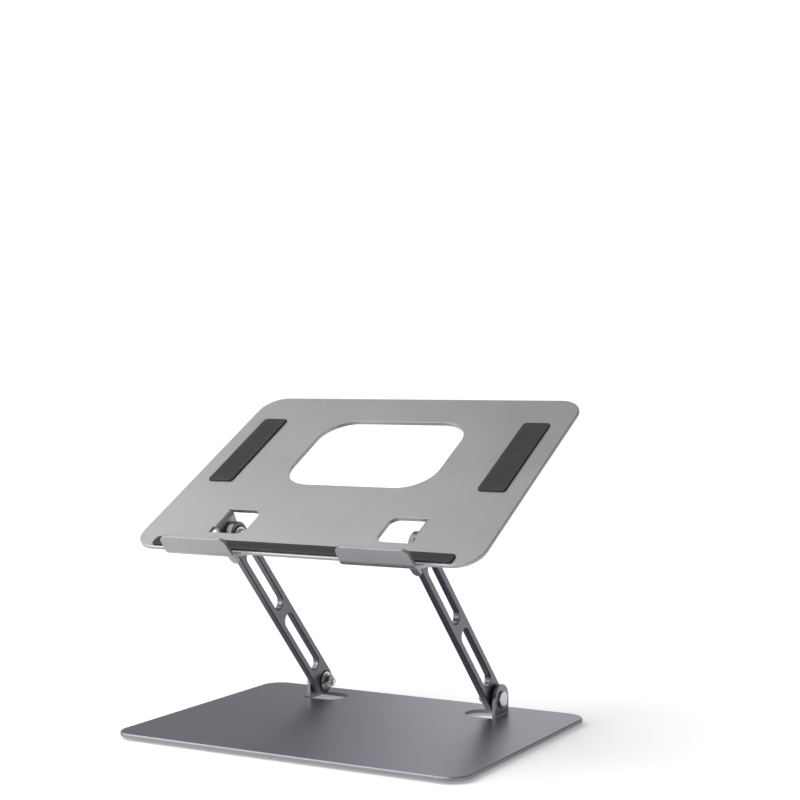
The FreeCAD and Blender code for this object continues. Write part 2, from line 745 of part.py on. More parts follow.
def make_hook_pads():
    """Rubber linings on the inner faces of the two hooks."""
    for side, name in ((1, "right"), (-1, "left")):
        label = f"{name}_hook_pad"
        body = new_body(label)
        skin = "(tray_thickness / cos(hook_lean))"
        turn_y = f"(-tray_front - hook_bend_radius + {skin})"
        lining = new_sketch(body, "XZ_Plane", f"-({turn_y})", "tray_drop + hook_bend_radius", "hook_lean")
        middle = f"{side} * hook_centre"
        height = "((hook_rise - hook_bend_radius) / cos(hook_lean))"
        add_rectangle(lining, f"{middle} - hook_top_width / 2 + pad_inset",
                      f"{middle} + hook_top_width / 2 - pad_inset",
                      "0", f"{height} - hook_pad_top_gap", "pad_corner")
        pad(body, lining, "pad_thickness", reverse=True)
        at_tray_pivot(body, "tray_tilt")
        finish(body, label)


# --- build ----------------------------------------------------------------------------------------

def check_document():
    """Stops the build if any object failed or any sub-part isn't a valid solid."""
    for item in document.Objects:
        if "Invalid" in item.State or "Error" in item.State:
            raise RuntimeError(f"{item.Label} failed: {item.State}")
    for item in subparts:
        shape = item.Shape
        if shape.isNull() or not shape.isValid() or len(shape.Solids) != 1:
            raise RuntimeError(f"{item.Label} isn't one valid solid")


def export_subparts():
    """Writes each sub-part to a file of its own name."""
    os.makedirs("parts", exist_ok=True)
    for item in subparts:
        item.Shape.exportStep(f"parts/{item.Label}.step")


fill_sheet()
make_base_plate()
make_base_feet()
make_arms()
make_pivot("base_pivot", at_base_pivot)
make_pivot("tray_pivot", at_tray_pivot)
make_tray_plate()
make_tray_pads()
make_hook_pads()
document.recompute()
check_document()
export_subparts()
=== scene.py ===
import json
import logging
import math
from dataclasses import dataclass, field
from enum import Enum

import bpy
import numpy as np
from mathutils import Matrix, Vector


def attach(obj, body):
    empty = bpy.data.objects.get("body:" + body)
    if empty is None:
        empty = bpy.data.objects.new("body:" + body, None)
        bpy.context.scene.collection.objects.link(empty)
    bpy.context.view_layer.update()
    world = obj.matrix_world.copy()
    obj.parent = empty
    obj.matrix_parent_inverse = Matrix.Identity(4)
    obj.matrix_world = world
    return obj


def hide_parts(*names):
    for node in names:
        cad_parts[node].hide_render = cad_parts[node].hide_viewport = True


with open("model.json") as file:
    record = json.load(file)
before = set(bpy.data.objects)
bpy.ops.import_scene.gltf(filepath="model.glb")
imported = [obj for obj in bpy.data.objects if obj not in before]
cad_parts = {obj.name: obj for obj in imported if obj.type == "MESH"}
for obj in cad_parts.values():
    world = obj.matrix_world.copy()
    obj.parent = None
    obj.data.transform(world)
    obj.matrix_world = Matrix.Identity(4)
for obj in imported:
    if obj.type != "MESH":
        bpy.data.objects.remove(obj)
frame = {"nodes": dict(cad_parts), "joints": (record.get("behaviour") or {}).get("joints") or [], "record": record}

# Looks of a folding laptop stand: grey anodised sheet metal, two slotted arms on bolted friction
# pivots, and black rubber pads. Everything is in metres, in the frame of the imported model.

logging.basicConfig(level=logging.INFO, format="%(name)s: %(message)s")
log = logging.getLogger("laptop_stand")

MM = 0.001
TAU = 2.0 * math.pi

# What a node's input takes: another node's output, a number, or a vector or colour.
Fed = bpy.types.NodeSocket | float | tuple[float, ...]
Colour = tuple[float, float, float]
Point = tuple[float, float, float]


class Side(Enum):
    """The two sides of the stand, as the sign of X."""

    LEFT = -1
    RIGHT = 1

    @property
    def word(self) -> str:
        """The side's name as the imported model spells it."""
        return self.name.lower()


class Pivot(Enum):
    """The two pairs of pivots, each with the body that its hardware rides on."""

    BASE = ("base_pivot", "base")
    TRAY = ("tray_pivot", "tray")

    @property
    def joint(self) -> str:
        """The joint's name."""
        return self.value[0]

    @property
    def body(self) -> str:
        """The body that the pivot's bolts and washers ride on."""
        return self.value[1]


class Slot(Enum):
    """The record's material slots."""

    GREY = "grey_anodised"
    DARK_GREY = "dark_grey_anodised"
    STEEL = "polished_steel"
    NYLON = "black_nylon"
    RUBBER = "black_rubber"


# --- node graphs ----------------------------------------------------------------------------------


class Graph:
    """A material under construction, with short ways to add and join its nodes."""

    def __init__(self, name: str) -> None:
        """Starts an empty material with one Principled shader.

        Args:
            name: the material's name.
        """
        self.material = bpy.data.materials.new(name)
        self.material.use_nodes = True
        self.tree = self.material.node_tree
        self.tree.nodes.clear()
        self.shader = self.node("ShaderNodeBsdfPrincipled")
        output = self.node("ShaderNodeOutputMaterial")
        self.tree.links.new(self.shader.outputs["BSDF"], output.inputs["Surface"])

    def node(self, kind: str, inputs: dict[str | int, Fed] | None = None,
             **settings: str | int | float) -> bpy.types.Node:
        """Adds a node.

        Args:
            kind: the node's Blender type.
            inputs: values or sockets for its inputs, by name or number.
            settings: the node's own properties.

        Returns:
            The new node.
        """
        made = self.tree.nodes.new(kind)
        for key, setting in settings.items():
            setattr(made, key, setting)
        for key, given in (inputs or {}).items():
            self.feed(made.inputs[key], given)
        return made

    def feed(self, socket: bpy.types.NodeSocket, given: Fed) -> None:
        """Links a socket to another, or sets its value.

        Args:
            socket: the input to fill.
            given: the output to link to it, or its value.
        """
        if isinstance(given, bpy.types.NodeSocket):
            self.tree.links.new(given, socket)
        else:
            socket.default_value = given

    def set(self, **inputs: Fed) -> None:
        """Sets or links the shader's inputs; an underscore in a name stands for a space."""
        for key, given in inputs.items():
            self.feed(self.shader.inputs[key.replace("_", " ")], given)

    def place(self) -> bpy.types.NodeSocket:
        """The point on the object, in metres, as a socket."""
        return self.node("ShaderNodeTexCoord").outputs["Object"]

    def noise(self, place: Fed, scale: float, detail: float = 2.0,
              roughness: float = 0.5) -> bpy.types.NodeSocket:
        """Noise at a place, as a socket from 0 to 1.

        Args:
            place: the point to read it at.
            scale: lumps to the metre.
            detail: octaves.
            roughness: the strength of the finer octaves.

        Returns:
            The noise's value.
        """
        inputs = {"Vector": place, "Scale": scale, "Detail": detail, "Roughness": roughness}
        return self.node("ShaderNodeTexNoise", inputs).outputs["Fac"]

    def spread(self, value: Fed, low: float, high: float, start: float = 0.0,
               end: float = 1.0) -> bpy.types.NodeSocket:
        """Carries a value's range from start and end to low and high."""
        inputs = {"Value": value, "From Min": start, "From Max": end, "To Min": low, "To Max": high}
        return self.node("ShaderNodeMapRange", inputs).outputs["Result"]

    def blend(self, amount: Fed, first: Fed, second: Fed) -> bpy.types.NodeSocket:
        """Mixes two colours.

        Args:
            amount: 0 for the first, 1 for the second.
            first: the first colour.
            second: the second colour.

        Returns:
            The mixed colour.
        """
        made = self.node("ShaderNodeMix", data_type="RGBA")
        self.feed(made.inputs[0], amount)
        self.feed(made.inputs[6], first)
        self.feed(made.inputs[7], second)
        return made.outputs[2]

    def add(self, first: Fed, second: Fed, operation: str = "ADD") -> bpy.types.NodeSocket:
        """Joins two numbers by a Math operation."""
        return self.node("ShaderNodeMath", {0: first, 1: second}, operation=operation).outputs[0]

    def bump(self, height: Fed, strength: float, distance: float,
             normal: Fed | None = None) -> bpy.types.NodeSocket:
        """Turns a height into a normal.

        Args:
            height: the height, from 0 to 1.
            strength: how much of it shows.
            distance: the full height in metres.
            normal: the normal under it, or None for the surface's own.

        Returns:
            The bumped normal.
        """
        inputs = {"Height": height, "Strength": strength, "Distance": distance}
        if normal is not None:
            inputs["Normal"] = normal
        return self.node("ShaderNodeBump", inputs).outputs["Normal"]

    def edge_mask(self, softened: Fed) -> bpy.types.NodeSocket:
        """How near a point is to a sharp edge, from the turn of the softened normal there.

        Args:
            softened: the normal of the softened surface.

        Returns:
            0 on the flat, up to 1 on an edge.
        """
        own = self.node("ShaderNodeNewGeometry").outputs["True Normal"]
        dot = self.node("ShaderNodeVectorMath", {0: softened, 1: own}, operation="DOT_PRODUCT")
        return self.spread(dot.outputs["Value"], 1.0, 0.0, 0.8, 0.995)

    def soft_edges(self, radius: float) -> bpy.types.NodeSocket:
        """The normal of the surface with its edges rounded to a radius."""
        return self.node("ShaderNodeBevel", {"Radius": radius}, samples=4).outputs["Normal"]


# --- finishes -------------------------------------------------------------------------------------


@dataclass(frozen=True)
class AnodisedAluminium:
    """Bead-blasted aluminium, dyed grey: a fine frosted grain, faint cloudiness, and edges painted a lighter grey
    in patches, partly as metal rubbed through by wear and partly as a painted edge highlight.
    """

    name: str
    colour: Colour
    roughness: float = 0.38
    grain: float = 1500.0
    edge_radius: float = 0.2 * MM
    cut_edge: Colour | None = None
    sheet_top: float = 4.5 * MM
    fade: float = 0.1 * MM
    tilt_range: tuple[float, float] = (0.4, 0.6)

    def make(self) -> bpy.types.Material:
        """Builds the material.

        Returns:
            The material.
        """
        graph = Graph(self.name)
        place = graph.place()
        cloud = graph.noise(place, 16.0, 3.0)
        grain = graph.noise(place, self.grain, 2.0, 0.6)
        fine = graph.noise(place, self.grain * 2.4, 1.0)
        fleck = (*(min(1.0, 1.28 * part) for part in self.colour), 1.0)
        lighter = (*(min(1.0, 1.05 * part) for part in self.colour), 1.0)
        darker = (*(0.95 * part for part in self.colour), 1.0)
        clouded = graph.blend(graph.spread(cloud, 0.0, 1.0, 0.3, 0.7), darker, lighter)
        flecked = graph.blend(graph.spread(grain, 0.0, 0.6, 0.35, 0.7), clouded, fleck)
        if self.cut_edge is not None:
            flecked = graph.blend(self.cut_mask(graph), flecked, (*self.cut_edge, 1.0))
        soft = graph.soft_edges(self.edge_radius)
        edge = graph.edge_mask(soft)
        # Edges painted a lighter grey in patches: partly metal rubbed through by wear, partly a painted highlight
        # along the edges.
        wear_and_highlight_mask = graph.add(edge, graph.spread(graph.noise(place, 420.0, 3.0), 0.1, 0.65), "MULTIPLY")
        edge_wear_and_highlight_level = min(1.0, 1.2 * sum(self.colour) / 3 + 0.22)
        edge_wear_and_highlight_grey = (edge_wear_and_highlight_level, edge_wear_and_highlight_level, edge_wear_and_highlight_level, 1.0)
        coloured = graph.blend(wear_and_highlight_mask, flecked, edge_wear_and_highlight_grey)
        roughness = graph.add(
            graph.spread(cloud, self.roughness - 0.012, self.roughness + 0.015, 0.3, 0.7),
            graph.spread(grain, -0.05, 0.07, 0.3, 0.7))
        coarse_bump = graph.bump(grain, 0.20, 0.05 * MM, soft)
        normal = graph.bump(fine, 0.12, 0.03 * MM, coarse_bump)
        graph.set(Base_Color=coloured, Metallic=0.9, Roughness=roughness, Normal=normal)
        return graph.material


    def cut_mask(self, graph: Graph) -> bpy.types.NodeSocket:
        """Where a flat sheet with ears bent up across X was cut.

        That is its rim all round, below the sheet's top, and the ears' narrow sides above it.

        Args:
            graph: the material's nodes.

        Returns:
            1 on a cut edge and 0 on the sheet's broad faces.
        """
        place = graph.node("ShaderNodeTexCoord")
        normal = graph.node("ShaderNodeSeparateXYZ", {"Vector": place.outputs["Normal"]})
        height = graph.node("ShaderNodeSeparateXYZ", {"Vector": place.outputs["Object"]}).outputs["Z"]
        steep, across = (
            graph.node("ShaderNodeMath", {0: normal.outputs[axis]}, operation="ABSOLUTE").outputs["Value"]
            for axis in ("Z", "X"))
        rim = graph.spread(steep, 1.0, 0.0, *self.tilt_range)
        in_sheet = graph.spread(height, 1.0, 0.0, self.sheet_top - self.fade, self.sheet_top + self.fade)
        narrow = graph.spread(across, 1.0, 0.0, *self.tilt_range)
        return graph.add(rim, graph.add(in_sheet, narrow, "MAXIMUM"), "MULTIPLY")


@dataclass(frozen=True)
class PlatedSteel:
    """Bright plated steel with fine turning marks round the bolt's axis and small scuffs."""

    name: str
    colour: Colour = (0.62, 0.62, 0.615)
    roughness: float = 0.13
    rings: float = 5200.0

    def make(self) -> bpy.types.Material:
        """Builds the material.

        Returns:
            The material.
        """
        graph = Graph(self.name)
        ring = graph.node("ShaderNodeUVMap", uv_map="around").outputs["UV"]
        stretch = graph.node("ShaderNodeMapping", {"Vector": ring, "Scale": (6.0, self.rings, 1.0)})
        marks = graph.noise(stretch.outputs["Vector"], 1.0, 3.0, 0.6)
        place = graph.place()
        scuff = graph.noise(place, 900.0, 4.0, 0.65)
        tarnish = graph.noise(place, 240.0, 3.0)
        dull = (*(0.72 * part for part in self.colour), 1.0)
        coloured = graph.blend(graph.spread(tarnish, 0.0, 0.6, 0.35, 0.75), (*self.colour, 1.0), dull)
        roughness = graph.add(
            graph.spread(scuff, self.roughness - 0.05, self.roughness + 0.12, 0.35, 0.7),
            graph.spread(marks, -0.03, 0.08, 0.3, 0.7))
        normal = graph.bump(scuff, 0.08, 0.02 * MM, graph.bump(marks, 0.25, 0.015 * MM))
        graph.set(Base_Color=coloured, Metallic=1.0, Roughness=roughness, Normal=normal)
        return graph.material


@dataclass(frozen=True)
class BlackPolymer:
    """A matt black polymer, nylon or silicone rubber: mottled, finely pitted and faintly dusty."""

    name: str
    colour: Colour = (0.017, 0.017, 0.018)
    roughness: float = 0.62
    pit: float = 1500.0
    pit_depth: float = 0.05 * MM
    dust: float = 0.12

    def make(self) -> bpy.types.Material:
        """Builds the material.

        Returns:
            The material.
        """
        graph = Graph(self.name)
        place = graph.place()
        mottle = graph.noise(place, 130.0, 4.0)
        pits = graph.node("ShaderNodeTexVoronoi", {"Vector": place, "Scale": self.pit}).outputs["Distance"]
        fine = graph.noise(place, self.pit * 2.0, 2.0)
        dusty = (*(part + 0.035 for part in self.colour), 1.0)
        dust = graph.spread(graph.noise(place, 60.0, 5.0, 0.7), 0.0, self.dust, 0.48, 0.8)
        coloured = graph.blend(dust, (*self.colour, 1.0), dusty)
        roughness = graph.spread(mottle, self.roughness - 0.08, self.roughness + 0.1, 0.3, 0.7)
        normal = graph.bump(fine, 0.2, 0.4 * self.pit_depth, graph.bump(pits, 0.45, self.pit_depth))
        graph.set(Base_Color=coloured, Metallic=0.0, Roughness=roughness, Normal=normal)
        return graph.material


@dataclass(frozen=True)
class StudioPaper:
    """The pale paper under the stand, lit a little from below as on a light table."""

    name: str = "studio_paper"
    shade: float = 0.86
    glow: float = 0.27

    def make(self) -> bpy.types.Material:
        """Builds the material.

        Returns:
            The material.
        """
        graph = Graph(self.name)
        fibre = graph.noise(graph.place(), 240.0, 4.0)
        low, high = (*([self.shade - 0.006] * 3), 1.0), (*([self.shade + 0.006] * 3), 1.0)
        graph.set(Base_Color=graph.blend(fibre, low, high), Roughness=0.75, Emission_Strength=self.glow)
        graph.shader.inputs["Emission Color"].default_value = (1.0, 1.0, 1.0, 1.0)
        return graph.material


# --- surfaces -------------------------------------------------------------------------------------


def surface(name: str, points: np.ndarray, wrap_u: bool = False, wrap_v: bool = False,
            uv: np.ndarray | None = None) -> bpy.types.Object:
    """A mesh over a grid of points, one quad to each cell; rows of coincident points become one vertex.

    Args:
        name: the piece's name.
        points: the grid, as rows (u) by columns (v) by XYZ, in metres.
        wrap_u: whether the last row joins the first.
        wrap_v: whether the last column joins the first.
        uv: two numbers for each grid point, kept as the UV map "around", or None.

    Returns:
        The new object, at the origin.
    """
    rows, columns = points.shape[:2]
    ids = np.arange(rows * columns).reshape(rows, columns)
    flat = points.reshape(-1, 3)
    for column in (0, columns - 1):
        if not wrap_v and np.ptp(points[:, column], axis=0).max() < 1e-9:
            ids[:, column] = ids[0, column]
    over = np.vstack([ids, ids[:1]]) if wrap_u else ids
    across = np.hstack([over, over[:, :1]]) if wrap_v else over
    quads = np.stack([across[:-1, :-1], across[1:, :-1], across[1:, 1:], across[:-1, 1:]], axis=-1)
    used, renumbered = np.unique(quads.reshape(-1, 4), return_inverse=True)
    quads = renumbered.reshape(-1, 4)
    distinct = quads != np.roll(quads, 1, axis=1)
    sizes = distinct.sum(axis=1)
    keep = sizes > 2
    loops = quads[keep][distinct[keep]]
    mesh = bpy.data.meshes.new(name)
    mesh.vertices.add(len(used))
    mesh.vertices.foreach_set("co", flat[used].astype(np.float32).ravel())
    mesh.loops.add(len(loops))
    mesh.loops.foreach_set("vertex_index", loops.astype(np.int32))
    starts = np.concatenate([[0], np.cumsum(sizes[keep])[:-1]])
    mesh.polygons.add(int(keep.sum()))
    mesh.polygons.foreach_set("loop_start", starts.astype(np.int32))
    mesh.update(calc_edges=True)
    if uv is not None:
        layer = mesh.uv_layers.new(name="around")
        layer.data.foreach_set("uv", uv.reshape(-1, 2)[used][loops].astype(np.float32).ravel())
    made = bpy.data.objects.new(name, mesh)
    bpy.context.scene.collection.objects.link(made)
    return made


def shade(piece: bpy.types.Object, material: bpy.types.Material, angle: float = 32.0) -> None:
    """Gives a piece its finish, smooth but for its sharp edges.

    Args:
        piece: the piece.
        material: its finish.
        angle: how sharp an edge stays sharp, in degrees.
    """
    piece.data.materials.clear()
    piece.data.materials.append(material)
    piece.data.shade_smooth()
    piece.data.set_sharp_from_angle(angle=math.radians(angle))


def turned(name: str, x: np.ndarray, radius: np.ndarray, centre: Vector, closed: bool) -> bpy.types.Object:
    """A shape turned about an axis along X.

    The point at turn a and station s is (x(s), radius(a, s) cos a, radius(a, s) sin a) from the centre.

    Args:
        name: the piece's name.
        x: the stations along the axis, in metres from the centre.
        radius: the radius at each station, or at each turn and station.
        centre: a point on the axis.
        closed: whether the profile closes on itself, as a ring's does.

    Returns:
        The new object.
    """
    turns = radius.shape[0] if radius.ndim == 2 else 96
    radius = np.broadcast_to(radius, (turns, x.size))
    angle = np.linspace(0.0, TAU, turns, endpoint=False)[:, None]
    along = np.broadcast_to(x, radius.shape)
    points = np.stack([along, radius * np.cos(angle), radius * np.sin(angle)], axis=-1) + np.array(centre)
    run = np.concatenate([[0.0], np.cumsum(np.hypot(np.diff(x), np.diff(radius[0])))])
    uv = np.stack([np.broadcast_to(angle / TAU, radius.shape), np.broadcast_to(run, radius.shape)], axis=-1)
    made = surface(name, points, wrap_u=True, wrap_v=closed, uv=uv)
    outward(made)
    return made


def outward(piece: bpy.types.Object) -> None:
    """Turns a closed piece's faces outwards if its volume comes out negative.

    The volume is a sixth of the sum, over the triangles, of a corner times the cross product of the others.

    Args:
        piece: the piece, whose mesh is changed.
    """
    mesh = piece.data
    mesh.calc_loop_triangles()
    co = np.empty(len(mesh.vertices) * 3, np.float32)
    mesh.vertices.foreach_get("co", co)
    corners = np.empty(len(mesh.loop_triangles) * 3, np.int32)
    mesh.loop_triangles.foreach_get("vertices", corners)
    a, b, c = co.reshape(-1, 3)[corners.reshape(-1, 3)].transpose(1, 0, 2).astype(float)
    if np.einsum("ij,ij->i", a, np.cross(b, c)).sum() < 0:
        mesh.flip_normals()


def rounded_section(corners: list[tuple[float, float, float]],
                    steps: int = 6) -> tuple[np.ndarray, np.ndarray]:
    """A section through corners, each rounded by a quadratic curve from one side to the next.

    Args:
        corners: (x, radius from the axis, rounding) of each corner, in metres.
        steps: points to a rounded corner.

    Returns:
        The section's x values and its radii.
    """
    path = np.array([corner[:2] for corner in corners])
    reach = np.array([corner[2] for corner in corners])[:, None]
    before, after = np.roll(path, 1, axis=0) - path, np.roll(path, -1, axis=0) - path
    start = path + reach * before / np.linalg.norm(before, axis=1, keepdims=True)
    end = path + reach * after / np.linalg.norm(after, axis=1, keepdims=True)
    t = np.linspace(0.0, 1.0, steps)[None, :, None]
    curve = (1 - t) ** 2 * start[:, None] + 2 * t * (1 - t) * path[:, None] + t ** 2 * end[:, None]
    x, radius = curve.reshape(-1, 2).T
    return x, radius


def node_points(node: str) -> np.ndarray:
    """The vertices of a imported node.

    Args:
        node: its name.

    Returns:
        The vertices as rows of XYZ, in metres.
    """
    mesh = frame["nodes"][node].data
    co = np.empty(len(mesh.vertices) * 3, np.float32)
    mesh.vertices.foreach_get("co", co)
    return co.reshape(-1, 3).astype(float)


def stand_for(piece: bpy.types.Object, node: str, body: str) -> None:
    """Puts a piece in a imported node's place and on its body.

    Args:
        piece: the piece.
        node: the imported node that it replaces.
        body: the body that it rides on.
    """
    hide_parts(node)
    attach(piece, body)
    log.info("%s rides on %s for %s, %d faces", piece.name, body, node, len(piece.data.polygons))


# --- sub-assemblies -------------------------------------------------------------------------------


@dataclass
class PivotHardware:
    """The bolt, washers and lock nut of one pivot, all turned about its axis."""

    side: Side
    pivot: Pivot
    steel: bpy.types.Material
    nylon: bpy.types.Material
    edge: float = 0.12 * MM
    thread_pitch: float = 0.8 * MM
    thread_depth: float = 0.4 * MM
    thread_length: float = 5.0 * MM
    bolt_turns: int = 96
    head_height: float = 1.5 * MM
    shank_gap: float = 0.06 * MM
    crown: float = 0.06 * MM
    rim: float = 0.4 * MM
    nut_flats: float = 8.0 * MM
    nut_chamfer: float = 0.55 * MM
    nut_bevel_angle: float = 60.0
    nut_bevel_share: float = 0.97
    nut_turns: int = 192
    collar_share: float = 0.29
    collar_foot_share: float = 0.92
    collar_lip_share: float = 0.62
    dome: float = 0.6 * MM
    axis: Vector = field(init=False)

    def __post_init__(self) -> None:
        """Finds the pivot's axis in the record's joints."""
        joint = next(joint for joint in frame["joints"] if joint["name"] == self.pivot.joint)
        self.axis = Vector(joint["pos_m"])

    @property
    def centre(self) -> Vector:
        """The point where the pivot's axis meets the plane X = 0."""
        return Vector((0, self.axis.y, self.axis.z))

    def node(self, piece: str) -> str:
        """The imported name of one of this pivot's pieces."""
        return f"{self.side.word}_{self.pivot.joint}_{piece}"

    def stations(self, piece: str) -> tuple[float, float, float]:
        """A piece's end nearer the middle of the stand, its outer end and its radius.

        Args:
            piece: the piece's short name.

        Returns:
            The two ends along X as distances from the plane X = 0, and the largest radius.
        """
        points = node_points(self.node(piece))
        reach = np.abs(points[:, 0])
        radius = np.hypot(points[:, 1] - self.axis.y, points[:, 2] - self.axis.z)
        return float(reach.min()), float(reach.max()), float(radius.max())

    def build(self) -> None:
        """Makes all six pieces."""
        for piece in ("friction_washer", "inner_washer"):
            self.finish(piece, self.ring(piece), self.nylon)
        self.finish("flat_washer", self.ring("flat_washer"), self.steel)
        self.finish("spring_washer", self.cone(), self.steel)
        self.finish("nut", self.nut(), self.steel)
        self.finish("bolt", self.bolt(), self.steel)

    def finish(self, piece: str, made: bpy.types.Object, material: bpy.types.Material) -> None:
        """Dresses a piece and puts it in its node's place."""
        shade(made, material)
        stand_for(made, self.node(piece), self.pivot.body)

    def bore(self) -> float:
        """The radius of the washers' and nut's holes, a little over the bolt's shank."""
        points = node_points(self.node("flat_washer"))
        return float(np.hypot(points[:, 1] - self.axis.y, points[:, 2] - self.axis.z).min())

    def ring(self, piece: str) -> bpy.types.Object:
        """A flat washer: a rectangle with rounded corners, turned about the axis.

        Args:
            piece: the washer's short name.

        Returns:
            The new object.
        """
        near, far, radius = self.stations(piece)
        hole, edge, sign = self.bore(), self.edge, self.side.value
        x, r = rounded_section([(near, hole, edge), (near, radius, edge),
                                (far, radius, edge), (far, hole, edge)])
        return turned(f"{self.node(piece)}_turned", sign * x, r, self.centre, closed=True)

    def cone(self) -> bpy.types.Object:
        """The coned spring washer: a slanted bar with rounded corners, turned about the axis.

        Returns:
            The new object.
        """
        near, far, radius = self.stations("spring_washer")
        points = node_points(self.node("spring_washer"))
        rim = np.hypot(points[:, 1] - self.axis.y, points[:, 2] - self.axis.z) > 0.99 * radius
        thickness = float(np.ptp(np.abs(points[rim, 0])))
        hole, edge = self.bore(), self.edge
        x, r = rounded_section([(near, hole, edge), (far - thickness, radius, edge), (far, radius, edge),
                                (near + thickness, hole, edge)])
        return turned(f"{self.node('spring_washer')}_coned", self.side.value * x, r, self.centre, closed=True)

    def nut(self) -> bpy.types.Object:
        """The lock nut.

        The hexagon's radius at turn a is half the flats over the cosine of a's distance from the middle of a
        flat. Chamfers of 30 degrees cap it near both of its faces, and a domed collar stands inboard of it,
        around the black ring's lip.

        Returns:
            The new object.
        """
        near, far, _ = self.stations("nut")
        shoulder = near + self.collar_share * (far - near)
        half, hole = self.nut_flats / 2, self.bore()
        foot, lip = self.collar_foot_share * half, self.collar_lip_share * half
        angle = np.linspace(0.0, TAU, self.nut_turns, endpoint=False)[:, None]
        hexagon = half / np.cos(np.mod(angle, TAU / 6) - TAU / 12)
        bevel = np.linspace(0.0, self.nut_chamfer, 7)
        slope = self.nut_bevel_share * half + bevel * math.tan(math.radians(self.nut_bevel_angle))
        turn = np.linspace(0.0, TAU / 4, 7)
        dome_x = near + self.dome * (1 - np.sin(turn))
        dome_r = foot - self.dome * (1 - np.cos(turn))
        x = np.concatenate([[far], far - bevel, shoulder + bevel[::-1], [shoulder], dome_x,
                            [near, near + 0.5 * MM, near + 0.5 * MM, near + 0.9 * MM, far - self.edge]])
        cap = np.concatenate([[hole + self.edge], slope, slope[::-1], [foot], dome_r,
                              [lip, lip - 0.05 * MM, hole + 0.1 * MM, hole, hole]])
        return turned(f"{self.node('nut')}_locking", self.side.value * x, np.minimum(hexagon, cap[None, :]),
                      self.centre, closed=True)

    def bolt(self) -> bpy.types.Object:
        """The bolt: a low flat head with a rounded rim, a plain shank and a rolled thread to its tip.

        On the thread the radius falls from the shank's by a triangle wave of the distance along the axis less
        the turn, one pitch to a full turn, and the last pitch tapers into the chamfered tip.

        Returns:
            The new object.
        """
        near, far, head = self.stations("bolt")
        shank = self.bore() - self.shank_gap
        seat = far - self.head_height
        thread_end = near + self.thread_length
        rim = np.linspace(0.0, TAU / 4, 8)
        face = np.linspace(0.0, 1.0, 6)
        face_x = far - self.crown * face ** 2
        face_r = face * (head - self.rim)
        rim_x = far - self.crown - (self.rim - self.crown) * (1 - np.cos(rim[1:]))
        rim_r = head - self.rim * (1 - np.sin(rim[1:]))
        neck_x = np.array([seat + 0.1 * MM, seat, seat, thread_end])
        neck_r = np.array([head, head - 0.1 * MM, shank, shank])
        along = np.linspace(thread_end, near, int(12 * self.thread_length / self.thread_pitch))[1:]
        angle = np.linspace(0.0, TAU, self.bolt_turns, endpoint=False)[:, None]
        phase = np.mod(along / self.thread_pitch - self.side.value * angle / TAU, 1.0)
        wave = 1.0 - np.abs(2.0 * phase - 1.0)
        fade = np.clip((thread_end - along) / self.thread_pitch, 0.0, 1.0)
        taper = np.clip((along - near) / (0.7 * self.thread_pitch), 0.0, 1.0)
        thread_r = shank - self.thread_depth * np.maximum(fade * wave, 1.15 - taper)
        plain = np.concatenate([face_r, rim_r, neck_r])
        radius = np.hstack([np.broadcast_to(plain, (self.bolt_turns, plain.size)), thread_r,
                            np.zeros((self.bolt_turns, 1))])
        x = np.concatenate([face_x, rim_x, neck_x, along, [near]])
        return turned(f"{self.node('bolt')}_threaded", self.side.value * x, radius, self.centre, closed=False)


@dataclass
class RubberPad:
    """A moulded rubber pad or foot: a rounded rectangle in plan, flat on top, with a rolled edge."""

    node: str
    body: str
    across: Vector
    along: Vector
    rubber: bpy.types.Material
    roll: float = 0.45 * MM
    corner: float = 2.5 * MM
    rings: int = 7

    def build(self) -> None:
        """Makes the pad in its node's box, measured along its own three directions."""
        up = self.across.cross(self.along)
        axes = np.array([self.across, self.along, up])
        local = node_points(self.node) @ axes.T
        low, high = local.min(axis=0), local.max(axis=0)
        made = surface(f"{self.node}_moulded", self.points(low, high) @ axes, wrap_u=True)
        outward(made)
        shade(made, self.rubber, 50.0)
        stand_for(made, self.node, self.body)

    def points(self, low: np.ndarray, high: np.ndarray) -> np.ndarray:
        """The pad's surface between two corners of its own frame.

        The plan at turn a is a rounded rectangle: a point that runs round the inner rectangle of the corner
        centres, plus the corner radius in direction a. Columns carry it from the middle of the underside out
        to the edge, up over the rolled edge by a quarter circle and back to the middle of the top.

        Args:
            low: the pad's lowest corner.
            high: its highest corner.

        Returns:
            Points as turns by columns by three.
        """
        middle, half = (low + high) / 2, (high - low) / 2
        corner = min(self.corner, half[0], half[1])
        quarter = np.linspace(0.0, TAU / 4, 12)
        turn = np.concatenate([quarter + step * TAU / 4 for step in range(4)])
        sign_x = np.repeat([1, -1, -1, 1], quarter.size)
        sign_y = np.repeat([1, 1, -1, -1], quarter.size)
        direction = np.stack([np.cos(turn), np.sin(turn)], axis=-1)
        centres = np.stack([sign_x * (half[0] - corner), sign_y * (half[1] - corner)], axis=-1)
        roll = np.linspace(0.0, TAU / 4, self.rings)
        thickness = high[2] - low[2]
        lift = min(self.roll, thickness * 0.9)
        inset = np.concatenate([[corner], [0.0], lift * (1 - np.cos(roll)), [corner]])
        height = np.concatenate([[0.0], [0.0], thickness - lift + lift * np.sin(roll), [thickness]])
        plan = centres[:, None] + direction[:, None] * (corner - inset)[None, :, None]
        shrink = np.linspace(1.0, 0.0, 5)[1:]
        inner = plan[:, -1:, :] * shrink[None, :, None]
        under = plan[:, :1, :] * shrink[::-1][None, :, None]
        plan = np.concatenate([under, plan, inner], axis=1)
        height = np.concatenate([np.zeros(shrink.size), height, np.full(shrink.size, thickness)])
        tall = np.broadcast_to(low[2] + height, plan.shape[:2])
        return np.concatenate([plan + middle[:2], tall[..., None]], axis=-1)


